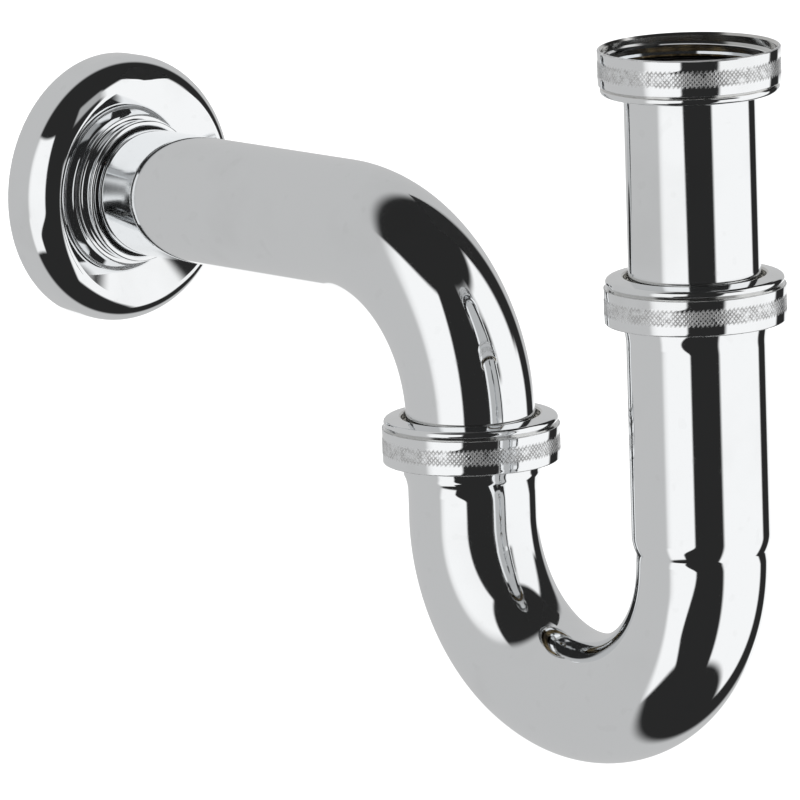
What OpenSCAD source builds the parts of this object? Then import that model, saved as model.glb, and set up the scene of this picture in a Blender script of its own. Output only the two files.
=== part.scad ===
// Chromed brass P-trap for a wash basin: 32 mm tube with G 1 1/4 slip nuts.
// +X points out of the wall and +Z points up. The origin is on the wall plane, on the
// axis of the wall tube. Threads are plain cylinders at their working diameters.

/* [Layout] */
// Distance from the wall to the axis of the outlet leg
reach = 132; // [120:1:180]
// Distance between the axes of the two trap legs
leg_spacing = 80; // [76:1:100]
// Centreline radius of the bend between the wall tube and the outlet leg
wall_bend_r = 44; // [40:1:46]
// Height of the level where the legs of the U-bend meet its half circle
u_centre_z = -68.5; // [-80:0.5:-68]
// Length of wall tube hidden inside the wall connector
wall_insert = 15; // [12:1:60]

/* [Tube] */
// Outer diameter of every tube
tube_d = 32; // [32:1:32]
// Wall of every tube
tube_wall = 0.8; // [0.6:0.1:1]
// Outer diameter of the expanded sockets on the trap
socket_d = 33.9; // [33.8:0.1:34]
// Height over which a socket narrows down to the tube
swage_h = 4.5; // [3:0.5:5]

/* [Nuts] */
// Outer diameter of the nuts
nut_d = 44; // [43.5:0.5:48]
// Height of the nuts
nut_h = 11.5; // [11.5:0.5:14]
// Height of the smooth ring below the knurl
nut_foot_h = 2.2; // [1.6:0.2:3]
// Height of the knurled band
knurl_h = 4.6; // [3:0.2:5]
// Height of the shoulder above the straight side
shoulder_h = 2.8; // [2.4:0.2:3.4]
// Height of the lower edge of the outlet nut
outlet_nut_z = -54.2; // [-58:0.1:-54.2]
// Height of the lower edge of the inlet nut
inlet_nut_z = -10; // [-30:0.5:-6]
// Height of the lower edge of the coupling nut
coupling_nut_z = 45; // [40:0.5:100]

/* [Flange] */
// Outer diameter of the wall flange
flange_d = 68; // [66:1:80]
// Depth of the flange from the wall to the end of its neck
flange_depth = 14; // [13:0.5:20]
// Radius of the rolled rim
flange_rim_r = 9.4; // [8:0.2:10]
// How steeply the flange's face dishes in from its rim, in degrees
flange_dish = 27; // [24:1:30]
// Thickness of the flange sheet
flange_sheet = 0.8; // [0.6:0.1:1]

/* [Hidden] */
$fn = 96;

// Tube sizes
tube_r = tube_d / 2;
tube_bore_r = tube_r - tube_wall;
socket_r = socket_d / 2;
socket_bore_r = socket_r - tube_wall;
inlet_x = reach + leg_spacing;

// G 1 1/4 thread, 11 turns per inch: crest of the nut's thread on the basin side
thread_minor_r = 19.476;
// Plain cylinders that stand for a mated pair of slip-nut threads
nut_bore_r = 20;
thread_ring_r = 19.95;
thread_relief_r = 20.3;
nut_hole_r = tube_r + 0.9;
nut_roof = 1.6;
nut_roof_chamfer = 0.9;
knurl_depth = 0.25;
shoulder_r = nut_d / 2 - 0.6;
shoulder_side_h = 1.2;
shoulder_chamfer = 0.8;

// Stack inside a slip nut, measured up from the nut's lower edge
ring_foot = 1.4;
braze_gap = 0.05;
mouth_h = 5.4;
stack_gap = 0.1;
seal_h = 2.8;
slip_ring_h = 1.2;
seal_z = mouth_h + stack_gap;
slip_ring_z = seal_z + seal_h + stack_gap;
seal_bore_r = tube_r + 0.05;
seal_foot_r = 18.2;
seal_top_r = 18.9;
slip_ring_bore_r = tube_r + 0.5;
slip_ring_r = 18.9;

// Sockets of the trap
outlet_mouth_z = outlet_nut_z + mouth_h;
inlet_mouth_z = inlet_nut_z + mouth_h;
outlet_swage_z = outlet_nut_z - 3.2;
inlet_swage_foot = u_centre_z + 2;
inlet_swage_z = inlet_swage_foot + swage_h;

// Tube ends
outlet_leg_end_z = outlet_swage_z + 0.3;
inlet_tube_end_z = inlet_nut_z - 25;
insert_groove = 1;
insert_groove_x = -1.5;
insert_groove_depth = 0.3;

// Top of the inlet tube, inside the coupling nut
collar_r = 19.2;
collar_h = 1.4;
collar_z = coupling_nut_z + nut_roof + 0.2;
washer_h = 2;
washer_bore_r = 15.6;
thread_start_z = collar_z + collar_h + washer_h + 0.3;

// Flange neck
neck_bore_r = tube_r + 0.5;
neck_r = neck_bore_r + flange_sheet;
neck_fillet_r = 1.5;
lip_r = 0.8;
arc_steps = 10;

// Flange rim: the roll turns up from a straight edge, then over a narrow crest into the dish
roll_turn = 67;
crest_r = 1.2;
crest_drop = 0.35;
roll_to_crest = flange_rim_r - crest_r;
flange_edge_h = flange_depth - crest_drop - crest_r - roll_to_crest * sin(roll_turn);
grip_ring_h = 3;

// A tube standing on height z, with its axis on x
module pipe(x, z, h, outer_r, bore_r) {
    translate([x, 0, z])
    rotate_extrude()
    translate([bore_r, 0])
    square([outer_r - bore_r, h]);
}

// A length of bent tube in the XZ plane, from angle_0 on through sweep degrees
module bent_pipe(centre_x, centre_z, bend_r, angle_0, sweep) {
    translate([centre_x, 0, centre_z])
    rotate([90, 0, 0])
    rotate([0, 0, angle_0])
    rotate_extrude(angle = sweep)
    translate([bend_r, 0])
    difference() {
        circle(tube_r);
        circle(tube_bore_r);
    }
}

// A socket on x: tube at foot_z, swaged out to the socket bore above it, open at mouth_z
module socket(x, foot_z, swage_z, mouth_z) {
    translate([x, 0, 0])
    rotate_extrude()
    polygon([[tube_bore_r, foot_z], [tube_r, foot_z],
             [tube_r, swage_z - swage_h], [socket_r, swage_z],
             [socket_r, mouth_z], [socket_bore_r, mouth_z],
             [socket_bore_r, swage_z], [tube_bore_r, swage_z - swage_h]]);
}

// Outline of a nut from its axis out, open end down
module nut_outline() {
    nut_r = nut_d / 2;
    knurl_r = nut_r - knurl_depth / 2;
    knurl_top = nut_foot_h + knurl_h;
    side_h = nut_h - shoulder_h;
    polygon([[0, 0], [nut_r, 0], [nut_r, nut_foot_h], [knurl_r, nut_foot_h],
             [knurl_r, knurl_top], [nut_r, knurl_top], [nut_r, side_h], [shoulder_r, side_h],
             [shoulder_r, side_h + shoulder_side_h],
             [shoulder_r - shoulder_chamfer, side_h + shoulder_side_h + shoulder_chamfer],
             [nut_hole_r, nut_h], [0, nut_h]]);
}

// What is bored out of a nut below its roof, with the corner under the roof left in
module nut_bore(bore_r) {
    roof_z = nut_h - nut_roof;
    polygon([[0, 0], [bore_r, 0], [bore_r, roof_z - nut_roof_chamfer],
             [bore_r - nut_roof_chamfer, roof_z], [0, roof_z]]);
}

// A slip nut on x, lower edge at z
module slip_nut(x, z) {
    translate([x, 0, z])
    rotate_extrude()
    difference() {
        nut_outline();
        nut_bore(nut_bore_r);
        square([nut_hole_r, nut_h]);
    }
}

// The low-friction ring under a slip nut's roof
module slip_ring(x, nut_z) {
    pipe(x, nut_z + slip_ring_z, slip_ring_h, slip_ring_r, slip_ring_bore_r);
}

// The tapered rubber seal between the slip ring and the mouth of a socket
module cone_seal(x, nut_z) {
    translate([x, 0, nut_z + seal_z])
    rotate_extrude()
    polygon([[seal_bore_r, 0], [seal_foot_r, 0], [seal_top_r, seal_h], [seal_bore_r, seal_h]]);
}

// The threaded ring brazed round the mouth of a socket
module thread_ring(x, nut_z) {
    pipe(x, nut_z + ring_foot, mouth_h - ring_foot, thread_ring_r, socket_r + braze_gap);
}

// Points of an arc, from angle a to angle b
function arc(centre, r, a, b) =
    [for (i = [0:arc_steps])
        let (angle = a + (b - a) * i / arc_steps)
        centre + r * [cos(angle), sin(angle)]];

// One side of the flange sheet from the wall to the neck, set in from the front by depth
function flange_line(depth) =
    let (roll = [flange_d / 2 - flange_rim_r, flange_edge_h])
    let (crest = roll + roll_to_crest * [cos(roll_turn), sin(roll_turn)])
    let (dish_turn = 90 + flange_dish)
    let (dish_top = crest + crest_r * [cos(dish_turn), sin(dish_turn)])
    let (fillet_r = neck_r + neck_fillet_r)
    let (fillet_rise = neck_fillet_r + (dish_top[0] - fillet_r) * cos(dish_turn))
    let (fillet_z = dish_top[1] + fillet_rise / sin(dish_turn))
    concat([[flange_d / 2 - depth, 0]],
           arc(roll, flange_rim_r - depth, 0, roll_turn),
           arc(crest, crest_r - depth, roll_turn, dish_turn),
           arc([fillet_r, fillet_z], neck_fillet_r + depth, dish_turn + 180, 180),
           [[neck_r - depth, flange_depth - lip_r]]);

// Section of the flange sheet, with the bead round the end of its neck
module flange_section() {
    front = flange_line(0);
    back = flange_line(flange_sheet);
    polygon(concat(front, [for (i = [len(back) - 1:-1:0]) back[i]]));
    translate([neck_bore_r + lip_r, flange_depth - lip_r])
    circle(lip_r);
}

// Everything turned about the wall tube's axis, +X out of the wall
module along_wall_tube() {
    rotate([0, 90, 0])
    rotate_extrude()
    children();
}

module coupling_nut() {
    relief_h = thread_start_z - coupling_nut_z;
    color("silver")
    translate([inlet_x, 0, coupling_nut_z])
    rotate_extrude()
    difference() {
        translate([0, nut_h])
        mirror([0, 1])
        nut_outline();
        translate([0, nut_h])
        mirror([0, 1])
        nut_bore(thread_minor_r);
        intersection() {
            translate([0, nut_h])
            mirror([0, 1])
            nut_bore(thread_relief_r);
            square([nut_d, relief_h]);
        }
        square([nut_hole_r, nut_h]);
    }
}

module inlet_washer() {
    color("dimgray")
    pipe(inlet_x, collar_z + collar_h, washer_h, collar_r, washer_bore_r);
}

module inlet_tube() {
    color("silver") {
        pipe(inlet_x, inlet_tube_end_z, collar_z - inlet_tube_end_z, tube_r, tube_bore_r);
        pipe(inlet_x, collar_z, collar_h, collar_r, tube_bore_r);
    }
}

module inlet_slip_nut() {
    color("silver")
    slip_nut(inlet_x, inlet_nut_z);
}

module inlet_slip_ring() {
    color("white")
    slip_ring(inlet_x, inlet_nut_z);
}

module inlet_cone_seal() {
    color("dimgray")
    cone_seal(inlet_x, inlet_nut_z);
}

module inlet_thread_ring() {
    color("goldenrod")
    thread_ring(inlet_x, inlet_nut_z);
}

module trap_bend() {
    color("silver") {
        socket(reach, u_centre_z, outlet_swage_z, outlet_mouth_z);
        bent_pipe(reach + leg_spacing / 2, u_centre_z, leg_spacing / 2, 180, 180);
        socket(inlet_x, u_centre_z, inlet_swage_z, inlet_mouth_z);
    }
}

module outlet_thread_ring() {
    color("goldenrod")
    thread_ring(reach, outlet_nut_z);
}

module outlet_cone_seal() {
    color("dimgray")
    cone_seal(reach, outlet_nut_z);
}

module outlet_slip_ring() {
    color("white")
    slip_ring(reach, outlet_nut_z);
}

module outlet_slip_nut() {
    color("silver")
    slip_nut(reach, outlet_nut_z);
}

module wall_bend() {
    bend_x = reach - wall_bend_r;
    color("silver") {
        along_wall_tube()
        difference() {
            translate([tube_bore_r, -wall_insert])
            square([tube_wall, wall_insert + bend_x]);
            translate([tube_r - insert_groove_depth, insert_groove_x])
            square([tube_wall, insert_groove]);
        }
        bent_pipe(bend_x, -wall_bend_r, wall_bend_r, 0, 90);
        pipe(reach, outlet_leg_end_z, -wall_bend_r - outlet_leg_end_z, tube_r, tube_bore_r);
    }
}

module wall_flange() {
    color("silver")
    along_wall_tube()
    flange_section();
}

module flange_grip_ring() {
    color("dimgray")
    along_wall_tube()
    translate([tube_r + 0.05, flange_depth - lip_r - grip_ring_h])
    square([neck_bore_r - tube_r - 0.05, grip_ring_h]);
}

coupling_nut();
inlet_washer();
inlet_tube();
inlet_slip_nut();
inlet_slip_ring();
inlet_cone_seal();
inlet_thread_ring();
trap_bend();
outlet_thread_ring();
outlet_cone_seal();
outlet_slip_ring();
outlet_slip_nut();
wall_bend();
wall_flange();
flange_grip_ring();
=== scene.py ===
import math

import bmesh
import bpy
from mathutils import Matrix, Vector


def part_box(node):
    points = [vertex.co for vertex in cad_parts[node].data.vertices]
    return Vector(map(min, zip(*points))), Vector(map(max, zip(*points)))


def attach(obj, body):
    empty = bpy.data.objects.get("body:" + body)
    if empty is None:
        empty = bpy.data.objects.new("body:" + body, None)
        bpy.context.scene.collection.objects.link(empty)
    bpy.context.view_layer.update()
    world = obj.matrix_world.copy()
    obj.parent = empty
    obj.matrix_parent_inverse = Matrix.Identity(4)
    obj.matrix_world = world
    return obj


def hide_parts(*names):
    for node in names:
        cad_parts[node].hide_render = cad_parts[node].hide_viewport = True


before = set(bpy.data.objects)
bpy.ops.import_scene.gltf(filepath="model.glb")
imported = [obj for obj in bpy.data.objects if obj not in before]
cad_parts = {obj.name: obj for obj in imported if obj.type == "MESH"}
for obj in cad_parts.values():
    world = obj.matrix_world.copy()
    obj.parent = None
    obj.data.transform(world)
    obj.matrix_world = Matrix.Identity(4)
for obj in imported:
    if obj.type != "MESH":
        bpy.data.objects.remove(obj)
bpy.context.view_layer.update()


# ---- Trap bend ----------------------------------------------------------------------------
# One length of 32 mm brass tube bent to a U. Both ends are swaged out to sockets, a long one
# for the inlet tube and a short one for the wall bend. Chromed outside, bare brass inside.

MM = 0.001
UP = Vector((0, 0, 1))
DOWN = Vector((0, 0, -1))
OUT = Vector((1, 0, 0))
WELD = 0.001
TUBE_SIDES = 160
BEND_STEP = 1.5
SWAGE_RINGS = 10


def span(node, axis):
    """Lowest and highest place of a CAD node along an axis, in millimetres."""
    low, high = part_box(node)
    along = "XYZ".index(axis)
    return low[along] / MM, high[along] / MM


def middle(node, axis):
    """The place halfway through a CAD node along an axis, in millimetres."""
    return sum(span(node, axis)) / 2


class Tube:
    """A tube in the making, in millimetres: its open end is drawn on, bent and swaged."""

    def __init__(self, start, heading, radius):
        self.shape = bmesh.new()
        self.tip = Vector(start)
        self.heading = Vector(heading)
        self.radius = radius
        facing = UP.rotation_difference(self.heading).to_matrix().to_4x4()
        bmesh.ops.create_circle(
            self.shape,
            radius=radius,
            segments=TUBE_SIDES,
            matrix=Matrix.Translation(self.tip) @ facing,
        )
        self.ring = list(self.shape.edges)

    def draw(self, length, radius=None):
        """Draws the open end on by a length, opening or closing it to a radius."""
        radius = radius or self.radius
        grown = bmesh.ops.extrude_edge_only(self.shape, edges=self.ring)["geom"]
        verts = [part for part in grown if isinstance(part, bmesh.types.BMVert)]
        self.ring = [part for part in grown if isinstance(part, bmesh.types.BMEdge)]
        step = self.heading * length
        bmesh.ops.translate(self.shape, verts=verts, vec=step)
        self.tip = self.tip + step
        wider = radius / self.radius
        about_tip = Matrix.Translation(-self.tip)
        bmesh.ops.scale(self.shape, verts=verts, vec=(wider, wider, wider), space=about_tip)
        self.radius = radius

    def swage(self, length, radius):
        """Eases the open end to another radius over a length."""
        first = self.radius
        for ring in range(1, SWAGE_RINGS + 1):
            part = ring / SWAGE_RINGS
            eased = part * part * (3 - 2 * part)
            self.draw(length / SWAGE_RINGS, first + (radius - first) * eased)

    def ease_off(self, length, radius):
        """Turns a sharp corner towards another radius, and eases to it over a length."""
        first = self.radius
        for ring in range(1, SWAGE_RINGS + 1):
            left = 1 - ring / SWAGE_RINGS
            self.draw(length / SWAGE_RINGS, radius - (radius - first) * left * left)

    def bend(self, bend_radius, towards, degrees):
        """Bends the tube on about a centre that lies towards one side."""
        centre = self.tip + towards * bend_radius
        axis = self.heading.cross(towards)
        ring_verts = list({vert for edge in self.ring for vert in edge.verts})
        last = bmesh.ops.spin(
            self.shape,
            geom=ring_verts + self.ring,
            cent=centre,
            axis=axis,
            angle=math.radians(degrees),
            steps=round(degrees / BEND_STEP),
        )["geom_last"]
        self.ring = [part for part in last if isinstance(part, bmesh.types.BMEdge)]
        turn = Matrix.Rotation(math.radians(degrees), 3, axis)
        self.tip = centre + turn @ (self.tip - centre)
        self.heading = turn @ self.heading

    def walled(self, wall):
        """The shape with its wall. The bore and the cut ends take the second material."""
        shape = self.shape
        bmesh.ops.remove_doubles(shape, verts=shape.verts, dist=WELD)
        return give_wall(shape, wall)


def give_wall(shape, wall):
    """Thickens an open skin inwards. What isn't the skin takes the second material."""
    bmesh.ops.recalc_face_normals(shape, faces=shape.faces)
    if shape.calc_volume(signed=True) < 0:
        bmesh.ops.reverse_faces(shape, faces=shape.faces)
    skin = set(shape.faces)
    bmesh.ops.solidify(shape, geom=list(skin), thickness=wall)
    for face in shape.faces:
        face.material_index = 0 if face in skin else 1
    return shape


def made_piece(shape, name, *materials, crease=32):
    """The finished shape, drawn in millimetres, as an object in metres."""
    bmesh.ops.scale(shape, verts=shape.verts, vec=(MM, MM, MM))
    mesh = bpy.data.meshes.new(name)
    shape.to_mesh(mesh)
    shape.free()
    mesh.shade_smooth()
    mesh.set_sharp_from_angle(angle=math.radians(crease))
    for material in materials:
        mesh.materials.append(material)
    piece = bpy.data.objects.new(name, mesh)
    bpy.context.scene.collection.objects.link(piece)
    return piece


class Signal:
    """One output in a node tree. Arithmetic on signals adds Math nodes."""

    def __init__(self, tree, output):
        self.tree = tree
        self.output = output

    @classmethod
    def node(cls, tree, kind, settings=None, sockets=None, output=0):
        """Adds a node: its settings first, then the values or links of its sockets."""
        made = tree.nodes.new(kind)
        for name, value in (settings or {}).items():
            setattr(made, name, value)
        for name, value in (sockets or {}).items():
            if isinstance(value, cls):
                tree.links.new(value.output, made.inputs[name])
            else:
                made.inputs[name].default_value = value
        return cls(tree, made.outputs[output]) if made.outputs else None

    def math(self, operation, first, second=0.0):
        settings = {"operation": operation}
        return Signal.node(self.tree, "ShaderNodeMath", settings, {0: first, 1: second})

    def __add__(self, other):
        return self.math("ADD", self, other)

    def __radd__(self, other):
        return self.math("ADD", other, self)

    def __sub__(self, other):
        return self.math("SUBTRACT", self, other)

    def __rsub__(self, other):
        return self.math("SUBTRACT", other, self)

    def __mul__(self, other):
        return self.math("MULTIPLY", self, other)

    def __abs__(self):
        return self.math("ABSOLUTE", self)

    def eased(self, start, end):
        """0 at start, 1 at end, and a smooth change between."""
        settings = {"interpolation_type": "SMOOTHSTEP"}
        ends = {"Value": self, "From Min": start, "From Max": end}
        return Signal.node(self.tree, "ShaderNodeMapRange", settings, ends)


def new_finish(name):
    """An empty material and its node tree."""
    material = bpy.data.materials.new(name)
    material.use_nodes = True
    material.node_tree.nodes.clear()
    return material, material.node_tree


def finished(tree, **sockets):
    """The Principled surface that ends a material. Underscores stand for spaces."""
    named = {name.replace("_", " "): value for name, value in sockets.items()}
    surface = Signal.node(tree, "ShaderNodeBsdfPrincipled", None, named)
    Signal.node(tree, "ShaderNodeOutputMaterial", None, {"Surface": surface})


def mottle(tree, size_mm, detail=3.0, seed=0.0):
    """Uneven patches of about one size, from 0 to 1, fixed to the piece."""
    place = Signal.node(tree, "ShaderNodeTexCoord", output="Object")
    settings = {"noise_dimensions": "4D"}
    sockets = {"Vector": place, "W": seed, "Scale": 1 / (size_mm * MM), "Detail": detail}
    return Signal.node(tree, "ShaderNodeTexNoise", settings, sockets)


def wipe_lines(tree, spacing_mm, lean, width):
    """Fine polishing lines that lean one way: 1 on a line and 0 beside it."""
    place = Signal.node(tree, "ShaderNodeTexCoord", output="Object")
    along = {"Vector": place, "Rotation": lean, "Scale": (1, 0.05, 1)}
    drawn_out = Signal.node(tree, "ShaderNodeMapping", None, along)
    sockets = {"Vector": drawn_out, "Scale": 1 / (spacing_mm * MM), "Detail": 1.0}
    wander = Signal.node(tree, "ShaderNodeTexNoise", None, sockets)
    return 1 - abs(wander - 0.5).eased(0.0, width)


def mixed(tree, share, first, second):
    """A colour between two, by share."""
    sockets = {0: share, 6: first, 7: second}
    return Signal.node(tree, "ShaderNodeMix", {"data_type": "RGBA"}, sockets, output=2)


def bumped(tree, depth_mm, height):
    """The surface's normal, tilted by a height from 0 to 1 that stands for depth_mm."""
    sockets = {"Strength": 1.0, "Distance": depth_mm * MM, "Height": height}
    return Signal.node(tree, "ShaderNodeBump", None, sockets)


CLEAN_CHROME = (0.872, 0.885, 0.895, 1)
HANDLED_CHROME = (0.80, 0.81, 0.815, 1)


def chrome_plate(name):
    """Bright chrome plate that has been wiped and handled: faint lines, smears, dry spots."""
    material, tree = new_finish(name)
    smears = mottle(tree, 24, seed=1.0).eased(0.50, 0.72)
    haze = mottle(tree, 1.8, detail=4.0, seed=2.0)
    dry_spots = mottle(tree, 3.4, detail=0.0, seed=3.0).eased(0.73, 0.76)
    lines = wipe_lines(tree, 1.1, (0.5, 0.9, 0.2), 0.010)
    stained = smears * 0.5 + dry_spots * 0.2
    finished(
        tree,
        Base_Color=mixed(tree, stained, CLEAN_CHROME, HANDLED_CHROME),
        Metallic=1.0,
        Roughness=0.025 + smears * 0.03 + haze * 0.02 + lines * 0.05 + dry_spots * 0.04,
        Normal=bumped(tree, 0.0006, mottle(tree, 0.9, seed=4.0) - lines * 0.3),
    )
    return material


def bare_brass(name):
    """Unplated brass, browned by water, with patches of lime."""
    material, tree = new_finish(name)
    tarnish = mottle(tree, 5.0, detail=5.0, seed=1.0).eased(0.35, 0.65)
    lime = mottle(tree, 2.0, detail=4.0, seed=2.0).eased(0.60, 0.70)
    grain = mottle(tree, 0.4, seed=3.0)
    brass = mixed(tree, tarnish, (0.36, 0.27, 0.14, 1), (0.13, 0.10, 0.065, 1))
    finished(
        tree,
        Base_Color=mixed(tree, lime * 0.5, brass, (0.42, 0.42, 0.38, 1)),
        Metallic=1 - lime * 0.6,
        Roughness=0.34 + tarnish * 0.2 + lime * 0.2,
        Normal=bumped(tree, 0.02, grain + lime),
    )
    return material


TUBE_R = 16.0
TUBE_WALL = 0.8
SOCKET_R = 16.95
SWAGE_LENGTH = 4.5
INLET_SWAGE_RISE = 2.0
FLARE_R = 17.45
FLARE_LENGTH = 5.5
LEG_CLEARANCE = 0.3
outlet_x = middle("outlet_slip_nut", "X")
inlet_x = middle("inlet_slip_nut", "X")
outlet_foot = span("outlet_slip_nut", "Z")[0]
inlet_foot = span("inlet_slip_nut", "Z")[0]
outlet_mouth = span("outlet_thread_ring", "Z")[1]
inlet_mouth = span("inlet_thread_ring", "Z")[1]
u_radius = (inlet_x - outlet_x) / 2
u_centre = span("trap_bend", "Z")[0] + TUBE_R + u_radius
outlet_swage = span("wall_bend", "Z")[0] - LEG_CLEARANCE

tube_chrome = chrome_plate("tube_chrome")
tube_bore = bare_brass("tube_bore")

trap = Tube((outlet_x, 0, outlet_mouth), DOWN, FLARE_R)
trap.draw(outlet_mouth - outlet_foot)
trap.swage(outlet_foot - outlet_swage, SOCKET_R)
trap.ease_off(SWAGE_LENGTH, TUBE_R)
trap.draw(trap.tip.z - u_centre)
trap.bend(u_radius, OUT, 180)
trap.draw(INLET_SWAGE_RISE)
trap.ease_off(SWAGE_LENGTH, SOCKET_R)
trap.draw(inlet_foot - FLARE_LENGTH - trap.tip.z)
trap.swage(FLARE_LENGTH, FLARE_R)
trap.draw(inlet_mouth - trap.tip.z)
trap_tube = made_piece(trap.walled(TUBE_WALL), "trap_tube", tube_chrome, tube_bore)
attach(trap_tube, "trap")
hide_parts("trap_bend")


# ---- Wall bend ----------------------------------------------------------------------------
# The same tube with one right-angle bend. Its plain end goes into the waste pipe in the wall,
# and a rolled line near that end shows how far to push it in. Chromed, cut square.

LINE_WIDTH = 0.8
LINE_DEPTH = 0.3
LINE_X = -1.4
wall_end = span("wall_bend", "X")[0]
leg_end = span("wall_bend", "Z")[0]
wall_bend_radius = 44.0

wall = Tube((wall_end, 0, 0), OUT, TUBE_R)
wall.draw(LINE_X - wall_end)
wall.draw(LINE_WIDTH / 4, TUBE_R - LINE_DEPTH)
wall.draw(LINE_WIDTH / 2)
wall.draw(LINE_WIDTH / 4, TUBE_R)
wall.draw(outlet_x - wall_bend_radius - wall.tip.x)
wall.bend(wall_bend_radius, DOWN, 90)
wall.draw(wall.tip.z - leg_end)
wall_tube = made_piece(wall.walled(TUBE_WALL), "wall_tube", tube_chrome, tube_bore)
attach(wall_tube, "wall_tube")
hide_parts("wall_bend")


# ---- Inlet tube ---------------------------------------------------------------------------
# A straight tube that slides in the long socket. Its top is turned out to a collar, which the
# coupling nut pulls up against the basin waste. Chromed, cut square at the bottom.

COLLAR_R = 19.2
COLLAR_CORNER = 1.0
CORNER_RINGS = 6
tube_foot, collar_top = span("inlet_tube", "Z")

inlet = Tube((inlet_x, 0, tube_foot), UP, TUBE_R)
inlet.draw(collar_top - TUBE_WALL - COLLAR_CORNER - tube_foot)
for ring in range(CORNER_RINGS):
    before, after = (math.radians(90 * part / CORNER_RINGS) for part in (ring, ring + 1))
    rise = COLLAR_CORNER * (math.sin(after) - math.sin(before))
    inlet.draw(rise, TUBE_R + COLLAR_CORNER * (1 - math.cos(after)))
inlet.draw(0, COLLAR_R)
inlet_pipe = made_piece(inlet.walled(TUBE_WALL), "inlet_pipe", tube_chrome, tube_bore)
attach(inlet_pipe, "inlet")
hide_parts("inlet_tube")


# ---- Slip nuts ----------------------------------------------------------------------------
# Pressed brass nuts, bored and threaded G 1 1/4 inside, with a diamond-knurled band rolled
# round the side for a hand grip. Chromed all over, with some dirt left low in the knurl.

NUT_R = 22.0
NUT_FOOT = 2.2
KNURL_HEIGHT = 4.6
KNURL_DEPTH = 0.12
KNURL_ROWS = 8
KNURL_COLUMNS = 252
NUT_SIDE = 8.7
NUT_HEIGHT = 11.5
HOLE_R = 17.1
CREASE_R = 20.95
CREASE_Z = 8.75
SHOULDER_R = 21.6
SHOULDER_LOW = 9.75
SHOULDER_HIGH = 10.8
ROOF_Z = 9.9
SEAT_R = 19.7
THREAD_TOP = 7.7
THREAD_PITCH = 2.309
THREAD_MAJOR_R = 20.955
THREAD_MINOR_R = 19.476
THREAD_SIDES = 120
THREAD_PLAY = 0.12
THREAD_START = 0.3
THREAD_ROOT_HALF = 0.41
THREAD_CREST_HALF = 0.10
THREAD_SUNK = 0.1
ROUNDING_SEGMENTS = 7
MOUTH_CHAMFER_R = 0.5
MOUTH_CHAMFER_Z = 0.6
SEAT_CHAMFER_Z = 1.0
RIM_WIDTH = 0.6


def turned(outline, steps=KNURL_COLUMNS):
    """A loop of (radius, height, rounding) corners turned about the Z axis into a solid."""
    shape = bmesh.new()
    corners = [shape.verts.new((radius, 0, height)) for radius, height, _ in outline]
    for corner, following in zip(corners, corners[1:] + corners[:1]):
        shape.edges.new((corner, following))
    for corner, (_, _, rounding) in zip(corners, outline):
        if rounding:
            bmesh.ops.bevel(
                shape,
                geom=[corner],
                offset=rounding,
                segments=round(ROUNDING_SEGMENTS + 2 * rounding),
                profile=0.5,
                affect="VERTICES",
                material=-1,
            )
    bmesh.ops.spin(
        shape,
        geom=shape.verts[:] + shape.edges[:],
        cent=(0, 0, 0),
        axis=UP,
        angle=2 * math.pi,
        steps=steps,
        use_merge=True,
    )
    bmesh.ops.remove_doubles(shape, verts=shape.verts, dist=WELD)
    bmesh.ops.recalc_face_normals(shape, faces=shape.faces)
    return shape


def placed(shape, x, z):
    """The turned shape moved onto an upright axis at x, with its foot at z."""
    bmesh.ops.translate(shape, verts=shape.verts, vec=(x, 0, z))
    return shape


def knurled(shape, low, height):
    """Presses crossing V-grooves into the band of the nut's side, which leaves diamonds."""
    column = 2 * math.pi / KNURL_COLUMNS
    row = height / KNURL_ROWS
    grooves = []
    for vert in shape.verts:
        across = math.hypot(vert.co.x, vert.co.y)
        at_row = (vert.co.z - low) / row
        if abs(across - NUT_R) > WELD or not 0.5 < at_row < KNURL_ROWS - 0.5:
            continue
        at_column = round(math.atan2(vert.co.y, vert.co.x) / column)
        if (at_column + round(at_row)) % 2:
            vert.co.xy *= 1 - KNURL_DEPTH / NUT_R
            grooves.append(vert)
    bmesh.ops.connect_verts(shape, verts=grooves)
    return shape


def threaded(shape, root_r, crest_r, low, high):
    """Adds one thread up a helix between two heights, standing from root_r to crest_r.

    The halves of its width are parts of the pitch, and leave play beside the other thread.
    """
    thread = bmesh.new()
    ridge = [
        (root_r, -THREAD_ROOT_HALF),
        (crest_r, -THREAD_CREST_HALF),
        (crest_r, THREAD_CREST_HALF),
        (root_r, THREAD_ROOT_HALF),
    ]
    start = low + 0.5 * THREAD_PITCH
    corners = [thread.verts.new((radius, 0, start + z * THREAD_PITCH)) for radius, z in ridge]
    face = thread.faces.new(corners)
    turns = (high - low) / THREAD_PITCH - 1
    steps = round(turns * THREAD_SIDES)
    bmesh.ops.spin(
        thread,
        geom=[face, *face.edges, *face.verts],
        cent=(0, 0, 0),
        axis=UP,
        angle=2 * math.pi * turns,
        steps=steps,
        dvec=(0, 0, THREAD_PITCH * turns / steps),
    )
    bmesh.ops.recalc_face_normals(thread, faces=thread.faces)
    cut_thread = bpy.data.meshes.new("cut_thread")
    thread.to_mesh(cut_thread)
    thread.free()
    shape.from_mesh(cut_thread)
    bpy.data.meshes.remove(cut_thread)
    return shape


def knurl_edge(low):
    """The corners up the knurled band, one for each row."""
    rows = range(KNURL_ROWS + 1)
    return [(NUT_R, low + KNURL_HEIGHT * row / KNURL_ROWS, 0) for row in rows]


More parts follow.
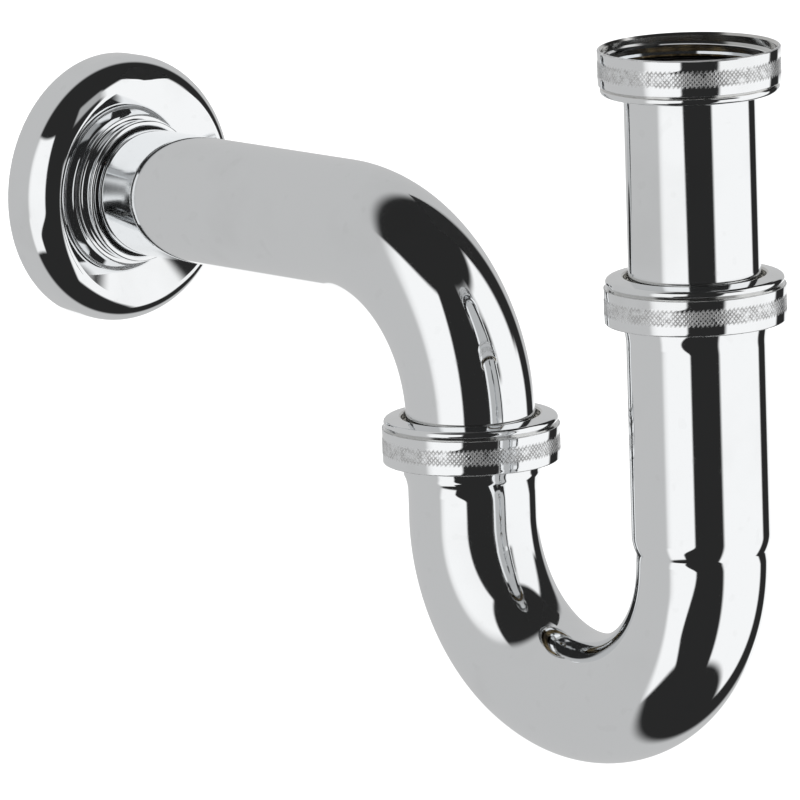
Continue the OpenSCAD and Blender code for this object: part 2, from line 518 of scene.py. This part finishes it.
def distance_across(tree, centre, flat):
    """How far a place is from an axis through centre. The axis is the one that is 0 in flat."""
    kind = "ShaderNodeVectorMath"
    place = Signal.node(tree, "ShaderNodeTexCoord", output="Object")
    offset = Signal.node(tree, kind, {"operation": "SUBTRACT"}, {0: place, 1: centre})
    level = Signal.node(tree, kind, {"operation": "MULTIPLY"}, {0: offset, 1: flat})
    return Signal.node(tree, kind, {"operation": "LENGTH"}, {0: level}, output="Value")


def nut_chrome(name, x):
    """Chrome plate over a knurl: dull with dirt between the diamonds, rubbed bright on top."""
    material, tree = new_finish(name)
    across = distance_across(tree, (x * MM, 0, 0), (1, 1, 0))
    in_groove = across.eased((NUT_R - 0.01) * MM, (NUT_R - KNURL_DEPTH) * MM)
    in_groove = in_groove * across.eased((SHOULDER_R + 0.05) * MM, (SHOULDER_R + 0.15) * MM)
    dirt = in_groove * mottle(tree, 1.5, seed=5.0).eased(0.3, 0.6)
    smears = mottle(tree, 14, seed=1.0).eased(0.50, 0.72)
    haze = mottle(tree, 1.2, detail=4.0, seed=2.0)
    lines = wipe_lines(tree, 0.8, (0.2, 1.4, 0.4), 0.010)
    clean = mixed(tree, smears * 0.6, CLEAN_CHROME, HANDLED_CHROME)
    finished(
        tree,
        Base_Color=mixed(tree, dirt * 0.7, clean, (0.15, 0.145, 0.14, 1)),
        Metallic=1 - dirt * 0.4,
        Roughness=0.03 + smears * 0.03 + haze * 0.03 + lines * 0.05 + in_groove * 0.22 + dirt * 0.2,
        Normal=bumped(tree, 0.0008, mottle(tree, 0.8, seed=4.0) - lines * 0.3),
    )
    return material


def dull_plate(name):
    """The thin plating inside a nut, greyer and duller than outside."""
    material, tree = new_finish(name)
    patches = mottle(tree, 3.0, detail=5.0, seed=6.0)
    finished(
        tree,
        Base_Color=mixed(tree, patches, (0.80, 0.80, 0.79, 1), (0.58, 0.57, 0.55, 1)),
        Metallic=1.0,
        Roughness=0.07 + patches * 0.12,
        Normal=bumped(tree, 0.004, mottle(tree, 0.5, seed=7.0)),
    )
    return material


def inside_dull(shape):
    """Gives the second material to every face that looks in towards the nut's axis."""
    for face in shape.faces:
        middle_of_face = face.calc_center_median()
        inward = face.normal.x * middle_of_face.x + face.normal.y * middle_of_face.y < 0
        near = math.hypot(middle_of_face.x, middle_of_face.y) < NUT_R - RIM_WIDTH
        face.material_index = 1 if near and (inward or face.normal.z < 0) else 0
    return shape


def slip_nut_shape():
    """A slip nut with its open end at height 0."""
    outline = [
        (THREAD_MAJOR_R + MOUTH_CHAMFER_R, 0, 0),
        (NUT_R, 0, 0.45),
        *knurl_edge(NUT_FOOT),
        (NUT_R, NUT_SIDE - 0.1, 0.12),
        (CREASE_R, CREASE_Z, 0.06),
        (SHOULDER_R, SHOULDER_LOW, 0.4),
        (SHOULDER_R - 0.2, SHOULDER_HIGH, 0.6),
        (HOLE_R, NUT_HEIGHT, 0.7),
        (HOLE_R, ROOF_Z, 0.2),
        (SEAT_R, ROOF_Z, 0.2),
        (SEAT_R, THREAD_TOP + SEAT_CHAMFER_Z, 0),
        (THREAD_MAJOR_R, THREAD_TOP, 0),
        (THREAD_MAJOR_R, MOUTH_CHAMFER_Z, 0),
    ]
    shape = inside_dull(knurled(turned(outline), NUT_FOOT, KNURL_HEIGHT))
    crest_r = THREAD_MINOR_R + THREAD_PLAY
    return threaded(shape, THREAD_MAJOR_R + THREAD_SUNK, crest_r, THREAD_START, THREAD_TOP)


nut_bore = dull_plate("nut_bore")
pressed_nut = slip_nut_shape()
for side, axis_x in (("outlet", outlet_x), ("inlet", inlet_x)):
    chrome = nut_chrome(side + "_nut_chrome", axis_x)
    foot = span(side + "_slip_nut", "Z")[0]
    shape = placed(pressed_nut.copy(), axis_x, foot)
    nut = made_piece(shape, side + "_nut", chrome, nut_bore)
    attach(nut, side + "_nut")
    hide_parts(side + "_slip_nut")


# ---- Coupling nut -------------------------------------------------------------------------
# A third slip nut, put on upside down before the collar was turned out. It hangs on the
# collar and screws onto the waste under the basin, so its open, threaded end is in sight.

coupling_foot = span("coupling_nut", "Z")[0]
coupling_chrome = nut_chrome("coupling_nut_chrome", inlet_x)
coupling_shape = pressed_nut
upside_down = Matrix.Rotation(math.pi, 3, OUT)
bmesh.ops.rotate(coupling_shape, verts=coupling_shape.verts, cent=(0, 0, 0), matrix=upside_down)
placed(coupling_shape, inlet_x, coupling_foot + NUT_HEIGHT)
coupling = made_piece(coupling_shape, "top_nut", coupling_chrome, nut_bore)
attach(coupling, "basin_nut")
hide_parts("coupling_nut")


# ---- Thread rings -------------------------------------------------------------------------
# Turned brass rings with the nuts' male thread, brazed round the mouths of the sockets after
# plating. The nuts hide them until they are undone.

RING_CORE_R = 19.4
RING_CREST_R = 20.8
RING_LIFT = 1.4
RING_HEIGHT = 4.0
HALF_PITCH = 0.5 * THREAD_PITCH
BRAZE_GAP = 0.05
ring_brass = bare_brass("ring_brass")

for side, axis_x in (("outlet", outlet_x), ("inlet", inlet_x)):
    outline = [
        (SOCKET_R + BRAZE_GAP, 0, 0),
        (RING_CORE_R, 0, 0.3),
        (RING_CORE_R, RING_HEIGHT, 0.3),
        (SOCKET_R + BRAZE_GAP, RING_HEIGHT, 0),
    ]
    between_ridges = THREAD_START + HALF_PITCH - RING_LIFT
    shape = threaded(
        turned(outline, steps=THREAD_SIDES),
        RING_CORE_R - THREAD_SUNK,
        RING_CREST_R,
        between_ridges,
        RING_HEIGHT,
    )
    placed(shape, axis_x, span(side + "_thread_ring", "Z")[0])
    thread_ring = made_piece(shape, side + "_brass_ring", ring_brass)
    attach(thread_ring, "trap")
    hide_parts(side + "_thread_ring")


# ---- Cone seals and washer ----------------------------------------------------------------
# Moulded black rubber. A tapered seal is squeezed into each socket's mouth by its nut, and a
# flat washer lies on the collar under the basin waste.


def black_rubber(name):
    """Moulded rubber with a chalky bloom and the fine grain of its mould."""
    material, tree = new_finish(name)
    bloom = mottle(tree, 4.0, detail=5.0, seed=1.0).eased(0.42, 0.70)
    grain = mottle(tree, 0.18, seed=2.0)
    pinholes = mottle(tree, 1.1, detail=0.0, seed=3.0).eased(0.74, 0.78)
    finished(
        tree,
        Base_Color=mixed(tree, bloom, (0.012, 0.012, 0.013, 1), (0.045, 0.043, 0.040, 1)),
        Roughness=0.52 + bloom * 0.25 + grain * 0.1,
        Normal=bumped(tree, 0.03, grain * 0.5 + 0.5 - pinholes * 0.5),
    )
    return material


SEAL_BORE_R = 16.05
SEAL_FOOT_R = 18.2
SEAL_TOP_R = 18.9
SEAL_HEIGHT = 2.8
WASHER_BORE_R = 15.6
WASHER_HEIGHT = 2.0
rubber = black_rubber("black_rubber")

seal_outline = [
    (SEAL_BORE_R, 0, 0.15),
    (SEAL_FOOT_R, 0, 0.3),
    (SEAL_TOP_R, SEAL_HEIGHT, 0.3),
    (SEAL_BORE_R, SEAL_HEIGHT, 0.15),
]
for side, axis_x in (("outlet", outlet_x), ("inlet", inlet_x)):
    seal_foot = span(side + "_cone_seal", "Z")[0]
    shape = placed(turned(seal_outline), axis_x, seal_foot)
    seal = made_piece(shape, side + "_rubber_seal", rubber)
    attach(seal, side + "_joint")
    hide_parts(side + "_cone_seal")

washer_outline = [
    (WASHER_BORE_R, 0, 0.3),
    (COLLAR_R, 0, 0.3),
    (COLLAR_R, WASHER_HEIGHT, 0.3),
    (WASHER_BORE_R, WASHER_HEIGHT, 0.3),
]
washer_shape = placed(turned(washer_outline), inlet_x, span("inlet_washer", "Z")[0])
washer = made_piece(washer_shape, "flat_washer", rubber)
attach(washer, "inlet")
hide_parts("inlet_washer")


# ---- Slip rings ---------------------------------------------------------------------------
# Thin white plastic rings between each nut's roof and its seal, so that the turning nut
# doesn't drag the rubber round. Stamped from sheet.


def white_plastic(name):
    """Smooth white plastic sheet, a little yellowed and scuffed."""
    material, tree = new_finish(name)
    yellowing = mottle(tree, 6.0, seed=1.0)
    scuffs = wipe_lines(tree, 0.9, (0.7, 0.3, 1.1), 0.012)
    finished(
        tree,
        Base_Color=mixed(tree, yellowing, (0.80, 0.80, 0.78, 1), (0.72, 0.69, 0.60, 1)),
        Roughness=0.32 + yellowing * 0.12 + scuffs * 0.25,
        Normal=bumped(tree, 0.004, mottle(tree, 0.6, seed=2.0) - scuffs * 0.5),
    )
    return material


RING_BORE_R = 16.5
SLIP_RING_HEIGHT = 1.2
plastic = white_plastic("white_plastic")

slip_outline = [
    (RING_BORE_R, 0, 0.2),
    (SEAL_TOP_R, 0, 0.2),
    (SEAL_TOP_R, SLIP_RING_HEIGHT, 0.2),
    (RING_BORE_R, SLIP_RING_HEIGHT, 0.2),
]
for side, axis_x in (("outlet", outlet_x), ("inlet", inlet_x)):
    shape = placed(turned(slip_outline), axis_x, span(side + "_slip_ring", "Z")[0])
    slip_ring = made_piece(shape, side + "_plastic_ring", plastic)
    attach(slip_ring, side + "_ring")
    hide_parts(side + "_slip_ring")


# ---- Wall flange --------------------------------------------------------------------------
# A cover plate spun from thin steel sheet and chromed in front. Its rim rolls up to a narrow
# crest, dishes in, and ends in a neck with a small bead round the tube.

FLANGE_R = 34.0
SHEET = 0.8
ROLL_R = 9.4
ROLL_TURN = math.radians(67)
CREST_R = 1.2
CREST_DROP = 0.35
DISH = math.radians(27)
NECK_R = 17.3
NECK_FILLET_R = 1.5
BEAD_R = 0.8
TOOL_MARK_SPACING = 0.7
LEVEL_LIMIT = 0.3
flange_depth = span("wall_flange", "X")[1]
edge = flange_depth - CREST_DROP - CREST_R - (ROLL_R - CREST_R) * math.sin(ROLL_TURN)


def flange_side(set_in):
    """The three rounded corners of one side of the sheet, set in from the front."""
    roll_cut = (ROLL_R - set_in) * math.tan(ROLL_TURN / 2)
    crest_cut = (CREST_R - set_in) * math.tan((math.pi / 2 + DISH - ROLL_TURN) / 2)
    neck_cut = (NECK_FILLET_R + set_in) * math.tan((math.pi / 2 + DISH) / 2)
    run = roll_cut + crest_cut
    crest_r = FLANGE_R - set_in - run * math.sin(ROLL_TURN)
    crest_z = edge + roll_cut + run * math.cos(ROLL_TURN)
    neck_r = NECK_R - set_in
    neck_z = crest_z - (crest_r - neck_r) * math.tan(DISH)
    return [
        (FLANGE_R - set_in, edge + roll_cut, roll_cut),
        (crest_r, crest_z, crest_cut * 0.98),
        (neck_r, neck_z, neck_cut),
    ]


def steel_inside(shape):
    """The second material for the side of a turned sheet that looks back or in."""
    for face in shape.faces:
        centre = face.calc_center_median()
        inward = face.normal.x * centre.x + face.normal.y * centre.y < 0
        level = abs(face.normal.z) < LEVEL_LIMIT
        face.material_index = 1 if face.normal.z < -LEVEL_LIMIT or (inward and level) else 0
    return shape


def spun_chrome(name):
    """Chrome over spun sheet: the marks of the tool run round the middle."""
    material, tree = new_finish(name)
    across = distance_across(tree, (0, 0, 0), (0, 1, 1))
    rings = {"W": across, "Scale": 1 / (TOOL_MARK_SPACING * MM), "Detail": 3.0}
    tool_marks = Signal.node(tree, "ShaderNodeTexNoise", {"noise_dimensions": "1D"}, rings)
    smears = mottle(tree, 20, seed=8.0).eased(0.50, 0.72)
    dry_spots = mottle(tree, 3.0, detail=0.0, seed=9.0).eased(0.73, 0.76)
    stained = smears * 0.5 + dry_spots * 0.2
    finished(
        tree,
        Base_Color=mixed(tree, stained, CLEAN_CHROME, HANDLED_CHROME),
        Metallic=1.0,
        Roughness=0.025 + smears * 0.03 + tool_marks * 0.02 + dry_spots * 0.04,
        Normal=bumped(tree, 0.0005, tool_marks),
    )
    return material


def dull_steel(name):
    """The unpolished back of the sheet, with a little rust."""
    material, tree = new_finish(name)
    rust = mottle(tree, 5.0, detail=5.0, seed=1.0).eased(0.58, 0.70)
    grain = mottle(tree, 0.6, seed=2.0)
    finished(
        tree,
        Base_Color=mixed(tree, rust, (0.42, 0.42, 0.42, 1), (0.16, 0.08, 0.04, 1)),
        Metallic=1 - rust * 0.9,
        Roughness=0.38 + rust * 0.4 + grain * 0.1,
        Normal=bumped(tree, 0.01, grain + rust),
    )
    return material


bead_foot = flange_depth - 2 * BEAD_R
flange_outline = [
    (FLANGE_R, 0, 0.2),
    *flange_side(0),
    (NECK_R, bead_foot, 0.15),
    (NECK_R + BEAD_R, bead_foot, 0.6),
    (NECK_R + BEAD_R, flange_depth, 0.75),
    (NECK_R - SHEET, flange_depth, 0.6),
    *reversed(flange_side(SHEET)),
    (FLANGE_R - SHEET, 0, 0.2),
]
flange_shape = steel_inside(turned(flange_outline, steps=288))
out_of_wall = Matrix.Rotation(math.pi / 2, 3, "Y")
bmesh.ops.rotate(flange_shape, verts=flange_shape.verts, cent=(0, 0, 0), matrix=out_of_wall)
flange_chrome = spun_chrome("flange_chrome")
flange_back = dull_steel("flange_back")
flange = made_piece(flange_shape, "cover_flange", flange_chrome, flange_back)
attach(flange, "flange")
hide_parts("wall_flange")


# ---- Grip ring ----------------------------------------------------------------------------
# A rubber band inside the flange's neck. It keeps the flange where it is pushed.

GRIP_OUTER_R = 16.5
grip_start, grip_end = span("flange_grip_ring", "X")
grip_outline = [
    (SEAL_BORE_R, grip_start, 0.1),
    (GRIP_OUTER_R, grip_start, 0.1),
    (GRIP_OUTER_R, grip_end, 0.1),
    (SEAL_BORE_R, grip_end, 0.1),
]
grip_shape = turned(grip_outline)
bmesh.ops.rotate(grip_shape, verts=grip_shape.verts, cent=(0, 0, 0), matrix=out_of_wall)
grip = made_piece(grip_shape, "grip_band", rubber)
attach(grip, "flange")
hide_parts("flange_grip_ring")


# ---- Table and studio ---------------------------------------------------------------------
# A pale table well under the trap. Round it a dark room with white boxes and panels that the
# chrome mirrors as stripes, a grey board on the wall's side, and a black card over the flange.

TABLE_DROP = 0.6
TABLE_HALF = 6.0
CARD_HALF = 0.080
CARD_PLACE = Vector((0.110, 0.214, 0.218))


def pale_paper(name):
    """Plain pale paper with a faint tooth."""
    material, tree = new_finish(name)
    tooth = mottle(tree, 2.0, detail=4.0)
    finished(
        tree,
        Base_Color=mixed(tree, tooth, (0.90, 0.90, 0.90, 1), (0.93, 0.93, 0.93, 1)),
        Roughness=0.9,
    )
    return material


def flat_black(name):
    """Black card that gives nothing back."""
    material, tree = new_finish(name)
    fibres = mottle(tree, 3.0)
    finished(
        tree,
        Base_Color=mixed(tree, fibres, (0.018, 0.018, 0.018, 1), (0.024, 0.024, 0.024, 1)),
        Roughness=1.0,
        Specular_IOR_Level=0.0,
    )
    return material


def flat_sheet(name, half_size, place, material):
    """A flat square sheet of the studio, in metres."""
    shape = bmesh.new()
    bmesh.ops.create_grid(shape, size=half_size, matrix=place)
    mesh = bpy.data.meshes.new(name)
    shape.to_mesh(mesh)
    shape.free()
    mesh.materials.append(material)
    sheet = bpy.data.objects.new(name, mesh)
    bpy.context.scene.collection.objects.link(sheet)
    return sheet


table_z = span("trap_bend", "Z")[0] * MM - TABLE_DROP
table_place = Matrix.Translation((0, 0, table_z))
table = flat_sheet("table", TABLE_HALF, table_place, pale_paper("pale_paper"))
table.visible_glossy = False

card_turn = CARD_PLACE.to_track_quat("Z", "Y").to_matrix().to_4x4()
card_place = Matrix.Translation(CARD_PLACE) @ card_turn
card = flat_sheet("card_above", CARD_HALF, card_place, flat_black("card_black"))
card.visible_camera = False
card.visible_diffuse = False
card.visible_shadow = False


def between(signal, start, end, edge):
    """1 from start to end, with a soft edge on each side."""
    half = edge / 2
    return signal.eased(start - half, start + half) * signal.eased(end + half, end - half)


studio = bpy.data.worlds.new("studio")
studio.use_nodes = True
sky = studio.node_tree
sky.nodes.clear()
direction = Signal.node(sky, "ShaderNodeTexCoord", output="Generated")
parts = {0: direction}
x, y, z = (Signal.node(sky, "ShaderNodeSeparateXYZ", None, parts, axis) for axis in range(3))
bearing = x.math("ARCTAN2", y, x) * math.degrees(1)
height = z.math("ARCSINE", z) * math.degrees(1)
GREY = 0.70
WHITE = 1.30
BLACK = 0.030

# Bearings and heights are in degrees. The boxes' right edge leans away below the horizon.
box_lean = height.eased(-12, -34) * 22
box_edge = (bearing + box_lean).eased(-53, -57)
upper_box = bearing.eased(-125, -92) * box_edge * between(height, -18, 41, 4)
lower_box = bearing.eased(-113, -110) * box_edge * between(height, -44, -18, 4)
low_panel = between(bearing, -7, 77, 6) * between(height, -55, 8, 6)
high_panel = between(bearing, 22, 71, 8) * between(height, 8, 46, 6)
corner_panel = between(bearing, -10, 22, 6) * between(height, 33, 50, 6) * 0.4
backdrop = between(bearing, 105, 150, 5) * between(height, -26, -9, 3)
wall_board = x.eased(-0.17, -0.30)


def over(beneath, share, level):
    """What is beneath, covered by a level as far as the share says."""
    return beneath + (level - beneath) * share


boxes_share = upper_box + lower_box + low_panel + high_panel + corner_panel
shade = over(over(boxes_share * (WHITE - BLACK) + BLACK, wall_board, GREY), backdrop, WHITE)
seen = Signal.node(sky, "ShaderNodeLightPath", output="Is Camera Ray")
shade = over(shade, seen, 1.0)
glow = Signal.node(sky, "ShaderNodeBackground", None, {"Strength": shade})
Signal.node(sky, "ShaderNodeOutputWorld", None, {"Surface": glow})
bpy.context.scene.world = studio

lamp = bpy.data.lights.new("overhead", "SUN")
lamp.energy = 3.6
lamp.angle = 2.4
overhead = bpy.data.objects.new("overhead", lamp)
overhead.visible_glossy = False
bpy.context.scene.collection.objects.link(overhead)


# ---- Camera -------------------------------------------------------------------------------
# A long lens, a little above the trap and turned a hair off level.

AZIMUTH = math.radians(47.258)
ELEVATION = math.radians(11.263)
ROLL = math.radians(-1.854)
LENS = 455.884
CAMERA_PLACE = Vector((1.91531, -1.67146, 0.44788))

camera = bpy.data.objects.new("camera", bpy.data.cameras.new("camera"))
camera.data.sensor_width = 36
camera.data.lens = LENS
camera.data.clip_end = 20
level_right = Vector((math.cos(AZIMUTH), math.sin(AZIMUTH), 0))
level_back = Vector((math.sin(AZIMUTH), -math.cos(AZIMUTH), 0))
back = Matrix.Rotation(-ELEVATION, 3, level_right) @ level_back
tilt = Matrix.Rotation(ROLL, 3, back)
camera_right = tilt @ level_right
camera_up = back.cross(camera_right)
facing = Matrix((camera_right, camera_up, back)).transposed()
camera.matrix_world = Matrix.Translation(CAMERA_PLACE) @ facing.to_4x4()
bpy.context.scene.collection.objects.link(camera)
bpy.context.scene.camera = camera
bpy.context.scene.view_settings.view_transform = "Standard"
